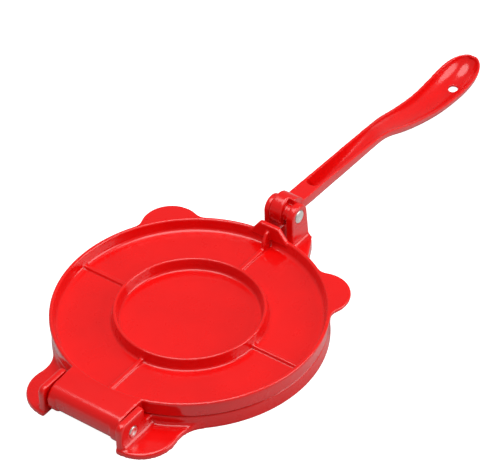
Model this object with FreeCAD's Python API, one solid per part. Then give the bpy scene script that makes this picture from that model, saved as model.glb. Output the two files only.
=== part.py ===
"""Cast-aluminium lever press for patties and flatbread dough, closed, with its lever swung back.

Frame: millimetres, +Z up, +X from the plate hinge towards the lever's clevis.
The origin is the centre of the round plates, on the surface the press stands on.
"""
import FreeCAD
import Part
import math
import os

Vector = FreeCAD.Vector
X_AXIS = Vector(1, 0, 0)
Y_AXIS = Vector(0, 1, 0)
Z_AXIS = Vector(0, 0, 1)

# Round plates
PLATE_R = 105.0          # top plate, outside of its rim at the top
BASE_R = 104.6           # base, outside of its wall at the foot
WALL_DRAFT = 0.9         # how far each outside wall leans in towards the parting gap
BASE_TOP = 12.1          # pressing face of the base
PLATE_BOTTOM = 12.5      # pressing face of the top plate
FLOOR_TOP = 16.0         # floor of the top plate's round recess
RIM_TOP = 25.3
RIM_WIDTH = 2.8
CAST_WALL = 3.5          # general thickness of the castings
EDGE_ROUND = 0.9         # rounding left on cast edges

# Stiffening ring and ribs in the recess
RING_R = 56.25           # middle of the ring's top
RING_TOP_WIDTH = 2.3
RING_LEAN = 1.4          # each side of the ring leans out by this much
RIB_WIDTH = 3.4
RIB_HEIGHT = 2.2

# Lifting tabs on the top plate's rim
TAB_ANGLE = 45.8         # degrees either side of +X
TAB_DISTANCE = 97.7
TAB_R = 23.4
TAB_THICK = 2.8
TAB_FILLET = 10.0

# Plate hinge
HINGE_X = -118.3
HINGE_Z = 12.3
HINGE_PIN_R = 4.4
TONGUE_HALF = 31.8       # half the width of the top plate's hinge tongue
BARREL_R = 10.7
KNUCKLE_R = 11.8
KNUCKLE_LENGTH = 6.5
EAR_INNER = 33.0
EAR_OUTER = 38.4
EAR_TOP = 25.0
PIN_DEPTH = 13.0         # how far each hinge pin reaches into the tongue

# Front feet, under the hinge ears
FOOT_DISTANCE = 112.6
FOOT_ANGLE = 161.1
FOOT_R = 27.3
FOOT_FILLET = 24.0
FOOT_THICK = 4.5

# Lever clevis on the base
LEVER_X = 121.9
LEVER_Z = 35.0
LEVER_PIN_R = 5.5
CLEVIS_INNER = 8.4       # inner face of the +Y ear
CLEVIS_NEAR = 7.2        # inner face of the -Y ear, which is the thicker one
CLEVIS_OUTER = 13.6
CLEVIS_R = 9.6
BRACKET_TOP = 10.5

# Nose of the top plate, which the lever bears on
NOSE_TOP = 35.3
NOSE_IN = 99.4
NOSE_OUT = 104.0
GUSSET_WIDTH = 2.8

# Lever
LEVER_HALF = 8.0
CAM_OFFSET = (2.9, -0.4)
CAM_R = 12.7
SHELL = 2.0              # wall of the lever's channel and grip
HOLLOW_SQUARENESS = 0.52
CAM_STEP_X = 124.0       # the cam is cut back in front of here, on its -Y half
CAM_STEP_Y = -2.4
BOSS_R = 7.0             # boss round the pin, left standing where the cam is cut back
ARM_START_X = 134.2      # clear of the -Y ear, the arm takes its full width
HANG_HOLE_X = 359.5
HANG_HOLE_R = 4.0
RUNNING_GAP = 0.05       # radial clearance round a turning pin

# Lever stations: x, half width, height of the open edge, height of the closed side, squareness.
# Squareness 1 is a square-cornered channel and 0.55 a half ellipse.
LEVER_STATIONS = [
    (130.0, 7.0, 39.8, 28.4, 0.88),
    (145.0, 7.7, 39.4, 27.3, 0.88),
    (160.0, 7.6, 38.8, 26.6, 0.88),
    (175.0, 7.6, 38.1, 26.2, 0.88),
    (190.0, 7.8, 37.3, 25.9, 0.88),
    (205.0, 8.0, 36.4, 25.8, 0.88),
    (220.0, 8.2, 35.4, 25.8, 0.87),
    (235.0, 8.5, 34.4, 25.7, 0.84),
    (250.0, 9.1, 32.7, 24.0, 0.78),
    (267.0, 11.5, 28.2, 18.1, 0.70),
    (285.0, 13.1, 22.6, 11.5, 0.62),
    (303.0, 14.1, 18.2, 6.1, 0.58),
    (321.0, 15.0, 15.1, 2.3, 0.56),
    (339.0, 16.0, 14.1, 1.0, 0.56),
    (357.0, 16.6, 14.9, 1.2, 0.56),
    (370.0, 15.8, 16.6, 3.4, 0.56),
    (380.0, 12.7, 18.1, 7.2, 0.56),
    (386.0, 8.4, 18.9, 11.6, 0.56),
    (389.4, 3.2, 19.4, 16.2, 0.56),
]
HOLLOW_TIP = [
    (384.4, 7.8, 19.6, 12.6, 0.56),
    (387.4, 3.6, 20.2, 16.2, 0.56),
]


def point(plane, u, v):
    """A point of a flat outline, drawn in one of the three planes through the origin."""
    if plane == "xy":
        return Vector(u, v, 0)
    if plane == "xz":
        return Vector(u, 0, v)
    return Vector(0, u, v)


def outline(plane, corners):
    """A closed face from corners (u, v, radius), each corner rounded by its radius."""
    runs = []
    count = len(corners)
    for i in range(count):
        u, v, radius = corners[i]
        here = point(plane, u, v)
        before = point(plane, *corners[i - 1][:2])
        after = point(plane, *corners[(i + 1) % count][:2])
        to_before = (before - here).normalize()
        to_after = (after - here).normalize()
        if radius == 0:
            runs.append((here, here, here))
            continue
        half = to_before.getAngle(to_after) / 2
        reach = radius / math.tan(half)
        middle_dir = (to_before + to_after).normalize()
        centre = here + middle_dir * (radius / math.sin(half))
        runs.append((here + to_before * reach, centre - middle_dir * radius, here + to_after * reach))
    edges = []
    for i in range(count):
        start, middle, end = runs[i]
        if start.distanceToPoint(end) > 1e-6:
            edges.append(Part.Arc(start, middle, end).toShape())
        following = runs[(i + 1) % count][0]
        if end.distanceToPoint(following) > 1e-6:
            edges.append(Part.makeLine(end, following))
    return Part.Face(Part.Wire(edges))


def revolved(corners):
    """A ring or disc turned about Z from its section (radius, height, corner radius)."""
    return outline("xz", corners).revolve(Vector(), Z_AXIS, 360)


def slab(face, direction, low, high):
    """An outline given thickness from low to high along a direction."""
    moved = face.copy()
    moved.translate(direction * low)
    return moved.extrude(direction * (high - low))


def rod(radius, x, z, y_low, y_high):
    """A cylinder along Y."""
    return Part.makeCylinder(radius, y_high - y_low, Vector(x, y_low, z), Y_AXIS)


def tab(plate_r, distance, tab_r, fillet_r, angle, z_low, z_high):
    """A round tab on a round plate, blended into the plate's edge by two hollow curves."""
    to_fillet = plate_r + fillet_r
    reach = tab_r + fillet_r
    swing = math.acos((distance ** 2 + to_fillet ** 2 - reach ** 2) / (2 * distance * to_fillet))
    centre = Vector(distance, 0, 0)
    inner_r = plate_r - 6.0
    sides = []
    for sign in (1, -1):
        hollow = Vector(math.cos(swing), sign * math.sin(swing), 0) * to_fillet
        on_plate = hollow * (plate_r / to_fillet)
        on_tab = centre + (hollow - centre).normalize() * tab_r
        between = (on_plate + on_tab) * 0.5
        middle = hollow + (between - hollow).normalize() * fillet_r
        sides.append((on_plate, middle, on_tab, on_plate * (inner_r / plate_r)))
    (plate_a, mid_a, tab_a, root_a), (plate_b, mid_b, tab_b, root_b) = sides
    edges = [
        Part.Arc(plate_a, mid_a, tab_a).toShape(),
        Part.Arc(tab_a, Vector(distance + tab_r, 0, 0), tab_b).toShape(),
        Part.Arc(tab_b, mid_b, plate_b).toShape(),
        Part.makeLine(plate_b, root_b),
        Part.makeLine(root_b, root_a),
        Part.makeLine(root_a, plate_a),
    ]
    shape = slab(Part.Face(Part.Wire(edges)), Z_AXIS, z_low, z_high)
    shape.rotate(Vector(), Z_AXIS, angle)
    return shape


def rounded(shape, radius, wanted):
    """Round the edges that a test picks out."""
    picked = [edge for edge in shape.Edges if wanted(edge)]
    return shape.makeFillet(radius, picked)


def box(x_low, x_high, y_low, y_high, z_low, z_high):
    corner = Vector(x_low, y_low, z_low)
    return Part.makeBox(x_high - x_low, y_high - y_low, z_high - z_low, corner)


def base_dish():
    """The base's round part: a drafted wall under a flat pressing face, hollow below."""
    top_r = BASE_R - WALL_DRAFT
    return revolved([
        (0, BASE_TOP - CAST_WALL, 0),
        (top_r - CAST_WALL, BASE_TOP - CAST_WALL, 2.0),
        (BASE_R - CAST_WALL, 0, 0),
        (BASE_R, 0, EDGE_ROUND / 2),
        (top_r, BASE_TOP, EDGE_ROUND),
        (0, BASE_TOP, 0),
    ])


def base_underside_ribs():
    """A ring and a cross of ribs that stiffen the base from below."""
    low = 3.0
    top = BASE_TOP - CAST_WALL + 0.5
    ring = Part.makeCylinder(RING_R + 1.5, top - low, Vector(0, 0, low))
    ring = ring.cut(Part.makeCylinder(RING_R - 1.5, top - low, Vector(0, 0, low)))
    reach = BASE_R - CAST_WALL
    along = box(-reach, reach, -1.5, 1.5, low, top)
    across = box(-1.5, 1.5, -reach, reach, low, top)
    return ring.fuse([along, across])


def front_foot(side):
    """The flat foot under one hinge ear, cut straight along the ear's inner face."""
    foot = tab(BASE_R, FOOT_DISTANCE, FOOT_R, FOOT_FILLET, FOOT_ANGLE, 0, FOOT_THICK)
    foot = rounded(foot, 1.8, lambda e: e.CenterOfMass.z > FOOT_THICK - 0.01 and e.CenterOfMass.Length > BASE_R)
    over_foot = tab(BASE_R, FOOT_DISTANCE, FOOT_R - 1.8, FOOT_FILLET, FOOT_ANGLE, 0, 12)
    wall_r = BASE_R - 0.4
    wall_blend = outline("xz", [
        (wall_r - 2, FOOT_THICK - 1, 0),
        (wall_r + 5, FOOT_THICK - 1, 0),
        (wall_r + 5, FOOT_THICK, 0),
        (wall_r, FOOT_THICK, 3.0),
        (wall_r, FOOT_THICK + 5, 0),
        (wall_r - 2, FOOT_THICK + 5, 0),
    ]).revolve(Vector(), Z_AXIS, 180)
    ear_blend = slab(outline("yz", [
        (EAR_OUTER - 2, FOOT_THICK - 1, 0),
        (EAR_OUTER + 7, FOOT_THICK - 1, 0),
        (EAR_OUTER + 7, FOOT_THICK, 0),
        (EAR_OUTER, FOOT_THICK, 4.5),
        (EAR_OUTER, FOOT_THICK + 6, 0),
        (EAR_OUTER - 2, FOOT_THICK + 6, 0),
    ]), X_AXIS, HINGE_X - 12.5, -96)
    foot = foot.fuse([wall_blend.common(over_foot), ear_blend.common(over_foot)])
    foot = foot.cut(box(-160, -60, -EAR_INNER, EAR_INNER, -1, 30))
    if side < 0:
        foot = foot.mirror(Vector(), Y_AXIS)
    return foot


def hinge_ear(side):
    """An upright ear of the base that holds one hinge pin."""
    profile = outline("xz", [
        (HINGE_X - 14.2, 1.0, 0),
        (HINGE_X - 14.2, EAR_TOP, 5.5),
        (HINGE_X + 14.4, EAR_TOP, 3.2),
        (HINGE_X + 14.4, BASE_TOP, 1.0),
        (-92.0, BASE_TOP, 0),
        (-92.0, 1.0, 0),
    ])
    ear = slab(profile, Y_AXIS, EAR_INNER, EAR_OUTER)
    ear = rounded(ear, 2.0, lambda e: e.CenterOfMass.y > EAR_OUTER - 0.01 and e.CenterOfMass.z > 1.5
                  and e.CenterOfMass.x < HINGE_X + 15)
    if side < 0:
        ear = ear.mirror(Vector(), Y_AXIS)
    return ear


def clevis():
    """The bracket and the two ears that carry the lever."""
    bracket = slab(outline("xy", [
        (92, -36.5, 0),
        (104, -32.5, 3),
        (129.5, -19.5, 6),
        (LEVER_X + 13.2, -CLEVIS_OUTER, 2),
        (LEVER_X + 13.2, CLEVIS_OUTER, 2),
        (129.5, 19.5, 6),
        (104, 32.5, 3),
        (92, 36.5, 0),
    ]), Z_AXIS, 0, BRACKET_TOP)
    profile = outline("xz", [
        (LEVER_X - CLEVIS_R, 4.0, 0),
        (LEVER_X - CLEVIS_R, LEVER_Z + CLEVIS_R, CLEVIS_R - 0.1),
        (LEVER_X + CLEVIS_R, LEVER_Z + CLEVIS_R, CLEVIS_R - 0.2),
        (LEVER_X + 13.2, 4.0, 0),
    ])
    ears = []
    for low, high in ((CLEVIS_INNER, CLEVIS_OUTER), (-CLEVIS_OUTER, -CLEVIS_NEAR)):
        ear = slab(profile, Y_AXIS, low, high)
        ears.append(rounded(ear, 1.4, lambda e: e.CenterOfMass.z > 12))
    bracket = rounded(bracket, 1.2, lambda e: e.CenterOfMass.z > BRACKET_TOP - 0.01 and e.CenterOfMass.x > 96)
    fillets = []
    for side in (1, -1):
        fillet = box(LEVER_X - 8.2, LEVER_X + 11.0, CLEVIS_OUTER - 1, CLEVIS_OUTER + 4, 8.0, BRACKET_TOP + 4)
        hollow = Part.makeCylinder(4, 30, Vector(LEVER_X - 15, CLEVIS_OUTER + 4, BRACKET_TOP + 4), X_AXIS)
        fillet = fillet.cut(hollow)
        fillets.append(fillet if side > 0 else fillet.mirror(Vector(), Y_AXIS))
    return bracket.fuse(ears + fillets)


def base():
    """The lower casting: pressing face, feet, hinge ears and clevis in one piece."""
    dish_space = Part.makeCone(BASE_R - CAST_WALL, BASE_R - WALL_DRAFT - CAST_WALL, BASE_TOP - CAST_WALL)
    outside = [clevis()]
    for side in (1, -1):
        outside.append(front_foot(side).fuse(hinge_ear(side)))
    outside = [piece.cut(dish_space) for piece in outside]
    solid = base_dish().fuse(outside + [base_underside_ribs()])
    for side in (1, -1):
        low = EAR_INNER if side > 0 else -EAR_OUTER - 1
        solid = solid.cut(rod(HINGE_PIN_R, HINGE_X, HINGE_Z, low - 1, low + EAR_OUTER - EAR_INNER + 2))
    solid = solid.cut(rod(LEVER_PIN_R, LEVER_X, LEVER_Z, -CLEVIS_OUTER - 1, CLEVIS_OUTER + 1))
    return solid.removeSplitter()


def plate_dish():
    """The top plate's round part: flat floor, upright rim and concentric stiffening ring."""
    half = RING_TOP_WIDTH / 2
    return revolved([
        (0, PLATE_BOTTOM, 0),
        (PLATE_R - WALL_DRAFT, PLATE_BOTTOM, EDGE_ROUND),
        (PLATE_R, RIM_TOP - TAB_THICK, 0),
        (PLATE_R, RIM_TOP, 0),
        (PLATE_R - RIM_WIDTH, RIM_TOP, 0),
        (PLATE_R - RIM_WIDTH - 2.1, FLOOR_TOP, 3.0),
        (RING_R + half + RING_LEAN, FLOOR_TOP, 1.8),
        (RING_R + half, RIM_TOP, 0.9),
        (RING_R - half, RIM_TOP, 0.9),
        (RING_R - half - RING_LEAN, FLOOR_TOP, 1.8),
        (0, FLOOR_TOP, 0),
    ])


def recess_rib(angle):
    """One low radial rib from the ring to the rim."""
    inner = RING_R + 1.5
    outer = PLATE_R - RIM_WIDTH - 0.8
    half = RIB_WIDTH / 2
    section = outline("yz", [
        (-half - 0.3, FLOOR_TOP - 0.5, 0),
        (-half, FLOOR_TOP + RIB_HEIGHT, 0.6),
        (half, FLOOR_TOP + RIB_HEIGHT, 0.6),
        (half + 0.3, FLOOR_TOP - 0.5, 0),
    ])
    rib = slab(section, X_AXIS, inner, outer)
    rib.rotate(Vector(), Z_AXIS, angle)
    return rib


def nose():
    """The tapered nose over the rim, with the round-backed gusset that props it from inside."""
    face = outline("yz", [
        (-19.0, RIM_TOP - 3.0, 0),
        (-16.0, RIM_TOP, 3.0),
        (-8.6, NOSE_TOP, 2.2),
        (8.6, NOSE_TOP, 2.2),
        (16.0, RIM_TOP, 3.0),
        (19.0, RIM_TOP - 3.0, 0),
    ])
    plate = slab(face, X_AXIS, NOSE_IN, NOSE_OUT)
    plate = rounded(plate, 1.3, lambda e: e.CenterOfMass.z > RIM_TOP + 2 and e.Length > 2.5
                    and (abs(e.CenterOfMass.x - NOSE_IN) < 0.01 or abs(e.CenterOfMass.x - NOSE_OUT) < 0.01))
    gusset = slab(outline("xz", [
        (90.0, FLOOR_TOP - 0.5, 0),
        (92.6, 24.0, 6.0),
        (96.6, 30.2, 3.0),
        (NOSE_IN + 1.5, 30.2, 0),
        (NOSE_IN + 1.5, FLOOR_TOP - 0.5, 0),
    ]), Y_AXIS, -GUSSET_WIDTH / 2, GUSSET_WIDTH / 2)
    gusset = rounded(gusset, 0.7, lambda e: abs(abs(e.CenterOfMass.y) - GUSSET_WIDTH / 2) < 0.01
                     and e.CenterOfMass.x < NOSE_IN and e.CenterOfMass.z > FLOOR_TOP)
    return plate.fuse(gusset)


def hinge_tongue():
    """The tongue that carries the top plate between the base's ears."""
    profile = outline("xz", [
        (-96.0, 17.5, 0),
        (HINGE_X + 4.0, 17.5, 3.0),
        (HINGE_X, HINGE_Z, 0),
        (HINGE_X - BARREL_R, HINGE_Z, 0),
        (HINGE_X - BARREL_R, HINGE_Z + KNUCKLE_R - 0.5, 9.5),
        (-105.0, RIM_TOP, 4.0),
        (-96.0, RIM_TOP, 0),
    ])
    tongue = slab(profile, Y_AXIS, -TONGUE_HALF, TONGUE_HALF)
    tongue = rounded(tongue, EDGE_ROUND, lambda e: abs(abs(e.CenterOfMass.y) - TONGUE_HALF) < 0.01
                     and e.CenterOfMass.z > 20)
    barrel = rod(BARREL_R, HINGE_X, HINGE_Z, -TONGUE_HALF, TONGUE_HALF)
    knuckles = []
    for low in (-TONGUE_HALF, TONGUE_HALF - KNUCKLE_LENGTH):
        knuckles.append(rod(KNUCKLE_R, HINGE_X, HINGE_Z, low, low + KNUCKLE_LENGTH))
    return tongue.fuse([barrel] + knuckles)


def top_plate():
    """The upper casting: dished plate with tabs, nose and hinge tongue."""
    core = Part.makeCylinder(PLATE_R - RIM_WIDTH / 2, 40)
    tabs = []
    for side in (1, -1):
        piece = tab(PLATE_R, TAB_DISTANCE, TAB_R, TAB_FILLET, side * TAB_ANGLE, RIM_TOP - TAB_THICK, RIM_TOP)
        tabs.append(piece.cut(core))
    solid = plate_dish().fuse(tabs).removeSplitter()
    solid = rounded(solid, EDGE_ROUND, is_rim_edge)
    ribs = [recess_rib(angle) for angle in (0, 90, 180, 270)]
    solid = solid.fuse([hinge_tongue().cut(core), nose()] + ribs)
    for side in (1, -1):
        low = TONGUE_HALF - PIN_DEPTH if side > 0 else -TONGUE_HALF - 1
        solid = solid.cut(rod(HINGE_PIN_R + RUNNING_GAP, HINGE_X, HINGE_Z, low, low + PIN_DEPTH + 1))
    return solid.removeSplitter()


def is_rim_edge(edge):
    """True for the curved edges of the rim and its tabs, at the height of the rim's top."""
    middle = edge.CenterOfMass
    level = edge.BoundBox.ZLength < 0.01 and middle.z > RIM_TOP - 0.01
    curved = hasattr(edge.Curve, "Radius")
    return level and curved and abs(edge.Curve.Radius - RING_R) > 5


def lever_section(x, half, top, bottom, square):
    """One closed cross-section of the lever: flat along its open edge, rounded below."""
    depth = top - bottom
    right = Part.BezierCurve()
    right.setPoles([
        Vector(x, -half, top),
        Vector(x, -half, top - square * depth),
        Vector(x, -square * half, bottom),
        Vector(x, 0, bottom),
    ])
    left = Part.BezierCurve()
    left.setPoles([
        Vector(x, 0, bottom),
        Vector(x, square * half, bottom),
        Vector(x, half, top - square * depth),
        Vector(x, half, top),
    ])
    lid = Part.makeLine(Vector(x, half, top), Vector(x, -half, top))
    return Part.Wire([right.toShape(), left.toShape(), lid])


def lever_body(stations):
    """A smooth solid through a list of stations."""
    return Part.makeLoft([lever_section(*station) for station in stations], True, False)


def lever_hollow():
    """The space inside the channel and the scooped grip, with a round start near the hub."""
    stations = []
    for x, half, top, bottom, square in LEVER_STATIONS[2:-2]:
        stations.append((x, half - SHELL, top + 1.0, bottom + SHELL, min(square, HOLLOW_SQUARENESS)))
    stations += HOLLOW_TIP
    start_x, start_half, start_top, start_bottom = stations[0][:4]
    start = Part.makeCylinder(start_half - 0.1, start_top - start_bottom, Vector(start_x, 0, start_bottom))
    return [lever_body(stations), start]


def lever():
    """The cast lever: eccentric hub, channel-section arm and scooped grip with a hanging hole."""
    solid = lever_body(LEVER_STATIONS)
    for hollow in lever_hollow():
        solid = solid.cut(hollow)
    low_y = -CLEVIS_NEAR + 0.2
    hub = rod(CAM_R, LEVER_X + CAM_OFFSET[0], LEVER_Z + CAM_OFFSET[1], low_y, LEVER_HALF)
    hub = hub.cut(box(100, CAM_STEP_X, low_y - 1, CAM_STEP_Y, 0, 60))
    hub = rounded(hub, 1.6, is_cam_step_edge)
    boss = rod(BOSS_R, LEVER_X, LEVER_Z, low_y, CAM_STEP_Y + 0.5)
    neck = slab(outline("xz", [
        (LEVER_X + 4, 30.0, 0),
        (LEVER_X + 4, 40.6, 0),
        (136.0, 39.85, 0),
        (136.0, 28.4, 0),
    ]), Y_AXIS, low_y, LEVER_HALF)
    solid = solid.fuse([hub, boss, neck])
    solid = solid.cut(box(120, ARM_START_X, -20, low_y, 0, 60))
    solid = solid.cut(rod(LEVER_PIN_R + RUNNING_GAP, LEVER_X, LEVER_Z, -20, 20))
    return solid.cut(Part.makeCylinder(HANG_HOLE_R, 60, Vector(HANG_HOLE_X, 0, -20)))


def is_cam_step_edge(edge):
    """True for the edges round the step, on the cam's curved face."""
    on_step = abs(edge.CenterOfMass.y - CAM_STEP_Y) < 0.01 and edge.CenterOfMass.x < CAM_STEP_X - 1
    return on_step and hasattr(edge.Curve, "Radius")


def pin(radius, x, z, y_low, y_high):
    """A steel pin with lightly rounded ends."""
    shape = rod(radius, x, z, y_low, y_high)
    return rounded(shape, 0.4, lambda e: e.Length > 10 and hasattr(e.Curve, "Radius"))


def main():
    os.makedirs("parts", exist_ok=True)
    proud = 0.4
    shapes = {
        "base": base(),
        "top_plate": top_plate(),
        "lever": lever(),
        "lever_pin": pin(LEVER_PIN_R, LEVER_X, LEVER_Z, -CLEVIS_OUTER - proud, CLEVIS_OUTER + proud),
        "hinge_pin_left": pin(HINGE_PIN_R, HINGE_X, HINGE_Z, TONGUE_HALF - PIN_DEPTH + 0.6, EAR_OUTER + proud),
        "hinge_pin_right": pin(HINGE_PIN_R, HINGE_X, HINGE_Z, -EAR_OUTER - proud, -TONGUE_HALF + PIN_DEPTH - 0.6),
    }
    for name, shape in shapes.items():
        print(name, shape.isValid(), len(shape.Solids), round(shape.Volume / 1000, 1), shape.BoundBox)
        shape.exportStep(f"parts/{name}.step")


main()
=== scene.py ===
import math

import bmesh
import bpy
from mathutils import Matrix, Vector


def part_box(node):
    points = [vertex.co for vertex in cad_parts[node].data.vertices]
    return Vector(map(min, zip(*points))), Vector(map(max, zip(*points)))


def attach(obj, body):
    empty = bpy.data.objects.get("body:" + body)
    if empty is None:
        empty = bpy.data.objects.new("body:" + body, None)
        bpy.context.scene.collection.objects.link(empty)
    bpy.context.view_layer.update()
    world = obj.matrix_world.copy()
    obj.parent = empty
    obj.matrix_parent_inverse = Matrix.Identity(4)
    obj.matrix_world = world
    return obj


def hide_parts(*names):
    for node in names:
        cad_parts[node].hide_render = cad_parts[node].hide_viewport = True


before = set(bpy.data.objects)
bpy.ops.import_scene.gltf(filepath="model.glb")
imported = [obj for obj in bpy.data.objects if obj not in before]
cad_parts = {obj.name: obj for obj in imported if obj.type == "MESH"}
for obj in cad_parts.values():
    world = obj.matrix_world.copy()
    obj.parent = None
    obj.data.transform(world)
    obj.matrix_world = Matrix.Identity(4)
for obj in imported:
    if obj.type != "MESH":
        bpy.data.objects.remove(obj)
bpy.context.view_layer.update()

# The viewpoint: a long lens, about two metres off and forty degrees above the worktop, looking
# from the hinge's side along towards the lever.
VIEW_DIRECTION = Vector((0.6066, 0.4672, -0.6432))
VIEW_ROLL = math.radians(2.05)
VIEW_POINT = (-1.2125, -0.9839, 1.4067)
camera_data = bpy.data.cameras.new("camera")
camera_data.lens = 209.9
camera_data.sensor_width = 36.0
camera_data.clip_end = 20.0
camera = bpy.data.objects.new("camera", camera_data)
bpy.context.collection.objects.link(camera)
level_right = VIEW_DIRECTION.cross(Vector((0, 0, 1))).normalized()
level_up = level_right.cross(VIEW_DIRECTION).normalized()
right = level_right * math.cos(VIEW_ROLL) - level_up * math.sin(VIEW_ROLL)
up = level_right * math.sin(VIEW_ROLL) + level_up * math.cos(VIEW_ROLL)
turn = Matrix((right, up, -VIEW_DIRECTION)).transposed().to_4x4()
camera.matrix_world = Matrix.Translation(VIEW_POINT) @ turn
bpy.context.scene.camera = camera


# The lower casting: a drafted dish with two feet, two hinge ears and the lever's clevis, cast in
# aluminium in one piece. It is sprayed with red powder and baked, so every edge and corner is soft.
def linear(hex_colour):
    """Linear RGBA of an sRGB hex colour."""
    channels = [int(hex_colour[i:i + 2], 16) / 255 for i in (1, 3, 5)]
    return [c / 12.92 if c <= 0.04045 else ((c + 0.055) / 1.055) ** 2.4 for c in channels] + [1.0]


def node(tree, kind, settings=(), links=()):
    """Adds a node, sets its properties or sockets, and links sockets from other nodes."""
    made = tree.nodes.new(kind)
    for key, value in dict(settings).items():
        if isinstance(key, str) and hasattr(made, key):
            setattr(made, key, value)
        else:
            made.inputs[key].default_value = value
    for key, source in dict(links).items():
        tree.links.new(source, made.inputs[key])
    return made


def red_powder_coat(name, seed):
    """Red powder coat baked on cast aluminium: flows glossy, with a faint orange peel."""
    material = bpy.data.materials.new(name)
    material.use_nodes = True
    tree = material.node_tree
    tree.nodes.clear()
    place = node(tree, "ShaderNodeTexCoord")
    shifted = node(tree, "ShaderNodeMapping", {"Location": (seed, seed * 1.7, 0)},
                   {"Vector": place.outputs["Object"]})
    at = {"Vector": shifted.outputs["Vector"]}

    # Film thickness drifts over a few centimetres, which shifts the red a little.
    drift = node(tree, "ShaderNodeTexNoise", {"Scale": 28.0, "Detail": 3.0, "Roughness": 0.5}, at)
    body = node(tree, "ShaderNodeValToRGB", links={"Fac": drift.outputs["Fac"]})
    body.color_ramp.elements[0].position = 0.3
    body.color_ramp.elements[0].color = linear("#DD0303")
    body.color_ramp.elements[1].position = 0.7
    body.color_ramp.elements[1].color = linear("#E60504")

    # Painted highlight and painted shade: the mesh's pointiness paints convex edges lighter, towards
    # #FF4A3C, and concave corners darker, towards #A80404. A colour Mix takes its factor at 0 and its
    # colours at 6 and 7, and gives its colour at 2.
    bend = node(tree, "ShaderNodeNewGeometry")
    edge = node(tree, "ShaderNodeMapRange",
                {"From Min": 0.505, "From Max": 0.54, "To Min": 0.0, "To Max": 0.08},
                {"Value": bend.outputs["Pointiness"]})
    corner = node(tree, "ShaderNodeMapRange",
                  {"From Min": 0.487, "From Max": 0.455, "To Min": 0.0, "To Max": 0.55},
                  {"Value": bend.outputs["Pointiness"]})
    # Painted highlight on the convex edges.
    edge_highlight_mix = node(tree, "ShaderNodeMix", {"data_type": "RGBA", 7: linear("#FF4A3C")},
                {0: edge.outputs["Result"], 6: body.outputs["Color"]})
    # Painted shade in the concave corners.
    corner_shade_mix = node(tree, "ShaderNodeMix", {"data_type": "RGBA", 7: linear("#A80404")},
                {0: corner.outputs["Result"], 6: edge_highlight_mix.outputs[2]})

    # Orange peel is 1 to 2 mm from crest to crest; the slower swell is the casting below.
    peel = node(tree, "ShaderNodeTexNoise", {"Scale": 420.0, "Detail": 2.0, "Roughness": 0.45}, at)
    swell = node(tree, "ShaderNodeTexNoise", {"Scale": 70.0, "Detail": 2.0, "Roughness": 0.5}, at)
    low = node(tree, "ShaderNodeBump", {"Strength": 0.35, "Distance": 0.0003},
               {"Height": swell.outputs["Fac"]})
    high = node(tree, "ShaderNodeBump", {"Strength": 0.35, "Distance": 0.00006},
                {"Height": peel.outputs["Fac"], "Normal": low.outputs["Normal"]})

    # Handling leaves faint duller patches in the gloss.
    smear = node(tree, "ShaderNodeTexNoise", {"Scale": 55.0, "Detail": 4.0, "Roughness": 0.6}, at)
    dull = node(tree, "ShaderNodeMapRange",
                {"From Min": 0.35, "From Max": 0.75, "To Min": 0.26, "To Max": 0.36},
                {"Value": smear.outputs["Fac"]})

    shader = node(tree, "ShaderNodeBsdfPrincipled",
                  {"IOR": 1.5, "Specular IOR Level": 0.12, "Coat Weight": 1.0, "Coat Roughness": 0.16,
                   "Coat IOR": 1.5},
                  {"Base Color": corner_shade_mix.outputs[2], "Roughness": dull.outputs["Result"],
                   "Normal": high.outputs["Normal"], "Coat Normal": high.outputs["Normal"]})
    node(tree, "ShaderNodeOutputMaterial", links={"Surface": shader.outputs["BSDF"]})
    return material


def soften_casting(name, grain, passes):
    """Gives a casting the rounded edges and corners that its baked coat leaves."""
    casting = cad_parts[name]
    skin = casting.modifiers.new("coat_skin", "REMESH")
    skin.mode = "VOXEL"
    skin.voxel_size = grain
    skin.use_smooth_shade = True
    flow = casting.modifiers.new("coat_flow", "SMOOTH")
    flow.factor = 0.5
    flow.iterations = passes
    return casting


def paint(piece, material):
    """Puts one material on every slot of a piece."""
    if not piece.material_slots:
        piece.data.materials.append(material)
    for place in piece.material_slots:
        place.material = material


base = soften_casting("base", 0.0007, 4)
paint(base, red_powder_coat("red_powder_coat_base", 0.0))


# The upper casting: a flat-bottomed dish with a rim, a stiffening ring and four low ribs, two
# lifting tabs, the nose that the lever bears on, and the tongue that turns on the hinge pins.
top_plate = soften_casting("top_plate", 0.0006, 4)
paint(top_plate, red_powder_coat("red_powder_coat_plate", 3.1))


# The lever: an eccentric hub, a channel-section arm and a scooped grip with a hanging hole, cast
# and coated like the plates.
lever = soften_casting("lever", 0.0005, 4)
paint(lever, red_powder_coat("red_powder_coat_lever", 7.3))


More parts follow.
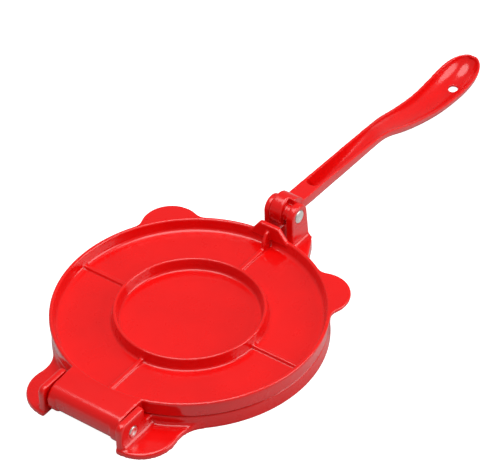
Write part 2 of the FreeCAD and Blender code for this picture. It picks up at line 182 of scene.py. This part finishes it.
# The three pins: plain turned steel rod, cut to length, driven through the ears and swaged at each
# end, which leaves a bright bevelled ring round a shallow dimple.
def turned_steel():
    """Bright turned steel: fine rings from the tool, and a tone that drifts a little at random."""
    material = bpy.data.materials.new("turned_steel")
    material.use_nodes = True
    tree = material.node_tree
    tree.nodes.clear()
    place = node(tree, "ShaderNodeTexCoord")
    # The tool leaves a ring about every third of a millimetre.
    rings = node(tree, "ShaderNodeTexWave",
                 {"wave_type": "RINGS", "rings_direction": "Y", "Scale": 900.0, "Distortion": 1.5,
                  "Detail": 2.0}, {"Vector": place.outputs["Object"]})
    grime = node(tree, "ShaderNodeTexNoise", {"Scale": 350.0, "Detail": 3.0},
                 {"Vector": place.outputs["Object"]})
    tone = node(tree, "ShaderNodeValToRGB", links={"Fac": grime.outputs["Fac"]})
    tone.color_ramp.elements[0].position = 0.35
    tone.color_ramp.elements[0].color = linear("#D6D6D2")
    tone.color_ramp.elements[1].position = 0.65
    tone.color_ramp.elements[1].color = linear("#F0F0EC")
    rough = node(tree, "ShaderNodeMapRange", {"To Min": 0.22, "To Max": 0.4},
                 {"Value": rings.outputs["Fac"]})
    groove = node(tree, "ShaderNodeBump", {"Strength": 0.4, "Distance": 0.00003},
                  {"Height": rings.outputs["Fac"]})
    shader = node(tree, "ShaderNodeBsdfPrincipled", {"Metallic": 1.0},
                  {"Base Color": tone.outputs["Color"], "Roughness": rough.outputs["Result"],
                   "Normal": groove.outputs["Normal"]})
    node(tree, "ShaderNodeOutputMaterial", links={"Surface": shader.outputs["BSDF"]})
    return material


def swaged_pin(name, material):
    """A pin in place of its CAD node, turned about Y, with a bevel and a dimple at both ends."""
    low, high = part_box(name)
    radius = (high[0] - low[0]) / 2
    half = (high[1] - low[1]) / 2
    # Radius and height, from the bottom of the dimple out to the foot of the bevel.
    end = [(0.0, half - 0.0009), (radius * 0.30, half - 0.00078), (radius * 0.55, half - 0.00035),
           (radius * 0.66, half - 0.00006), (radius * 0.72, half), (radius * 0.82, half),
           (radius * 0.93, half - 0.0002), (radius * 0.985, half - 0.00055), (radius, half - 0.0009)]
    profile = end + [(r, -y) for r, y in reversed(end)]
    shape = bmesh.new()
    rim = [shape.verts.new((r, y, 0)) for r, y in profile]
    edges = [shape.edges.new(pair) for pair in zip(rim, rim[1:])]
    bmesh.ops.spin(shape, geom=rim + edges, cent=(0, 0, 0), axis=(0, 1, 0), angle=math.tau, steps=64)
    bmesh.ops.remove_doubles(shape, verts=shape.verts, dist=1e-6)
    bmesh.ops.recalc_face_normals(shape, faces=shape.faces)
    mesh = bpy.data.meshes.new(name + "_turned")
    shape.to_mesh(mesh)
    shape.free()
    for face in mesh.polygons:
        face.use_smooth = True
    piece = bpy.data.objects.new(name + "_turned", mesh)
    bpy.context.collection.objects.link(piece)
    piece.location = [(a + b) / 2 for a, b in zip(low, high)]
    piece.data.materials.append(material)
    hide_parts(name)
    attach(piece, "base")
    return piece


steel = turned_steel()
for pin in ("lever_pin", "hinge_pin_left", "hinge_pin_right"):
    swaged_pin(pin, steel)


# The worktop: a plain white sheet, lit from below to show no line where it ends.
floor_mesh = bpy.data.meshes.new("worktop")
half_floor = 6.0
floor_corners = [(-half_floor, -half_floor, 0), (half_floor, -half_floor, 0),
                 (half_floor, half_floor, 0), (-half_floor, half_floor, 0)]
floor_mesh.from_pydata(floor_corners, [], [(0, 1, 2, 3)])
floor = bpy.data.objects.new("worktop", floor_mesh)
bpy.context.collection.objects.link(floor)
white_sheet = bpy.data.materials.new("white_backlit_sheet")
white_sheet.use_nodes = True
sheet_tree = white_sheet.node_tree
sheet_tree.nodes.clear()
paper = node(sheet_tree, "ShaderNodeBsdfDiffuse", {"Color": linear("#BEBEBE")})
glow = node(sheet_tree, "ShaderNodeEmission", {"Color": linear("#FFFFFF"), "Strength": 0.97})
direct = node(sheet_tree, "ShaderNodeLightPath")
lit = node(sheet_tree, "ShaderNodeAddShader",
           links={0: paper.outputs["BSDF"], 1: glow.outputs["Emission"]})
shown = node(sheet_tree, "ShaderNodeMixShader",
             links={0: direct.outputs["Is Camera Ray"], 1: paper.outputs["BSDF"],
                    2: lit.outputs["Shader"]})
node(sheet_tree, "ShaderNodeOutputMaterial", links={"Surface": shown.outputs["Shader"]})
floor.data.materials.append(white_sheet)


# The studio: a broad round soft box overhead, another low on the side of the lifting tabs, and a
# pale room around them.
def soft_box(name, position, target, size, power):
    """A round area light aimed at a point."""
    light = bpy.data.lights.new(name, "AREA")
    light.shape = "DISK"
    light.size = size
    light.energy = power
    lamp = bpy.data.objects.new(name, light)
    bpy.context.collection.objects.link(lamp)
    lamp.location = position
    aim = Vector(target) - Vector(position)
    lamp.rotation_euler = aim.to_track_quat("-Z", "Y").to_euler()
    return lamp


soft_box("soft_box_overhead", (-0.05, 0.05, 1.5), (0.0, 0.0, 0.0), 1.5, 22.0)
soft_box("soft_box_side", (0.75, -1.35, 0.75), (0.1, 0.0, 0.02), 1.3, 14.0)
world = bpy.data.worlds.new("studio")
bpy.context.scene.world = world
world.use_nodes = True
world.node_tree.nodes.clear()
ray = node(world.node_tree, "ShaderNodeLightPath")
room = node(world.node_tree, "ShaderNodeBackground", {"Color": linear("#FFFFFF"), "Strength": 0.27})
backdrop = node(world.node_tree, "ShaderNodeBackground", {"Color": linear("#FFFFFF"), "Strength": 1.0})
seen = node(world.node_tree, "ShaderNodeMixShader",
            links={0: ray.outputs["Is Camera Ray"], 1: room.outputs["Background"],
                   2: backdrop.outputs["Background"]})
node(world.node_tree, "ShaderNodeOutputWorld", links={"Surface": seen.outputs["Shader"]})
bpy.context.scene.view_settings.view_transform = "Standard"
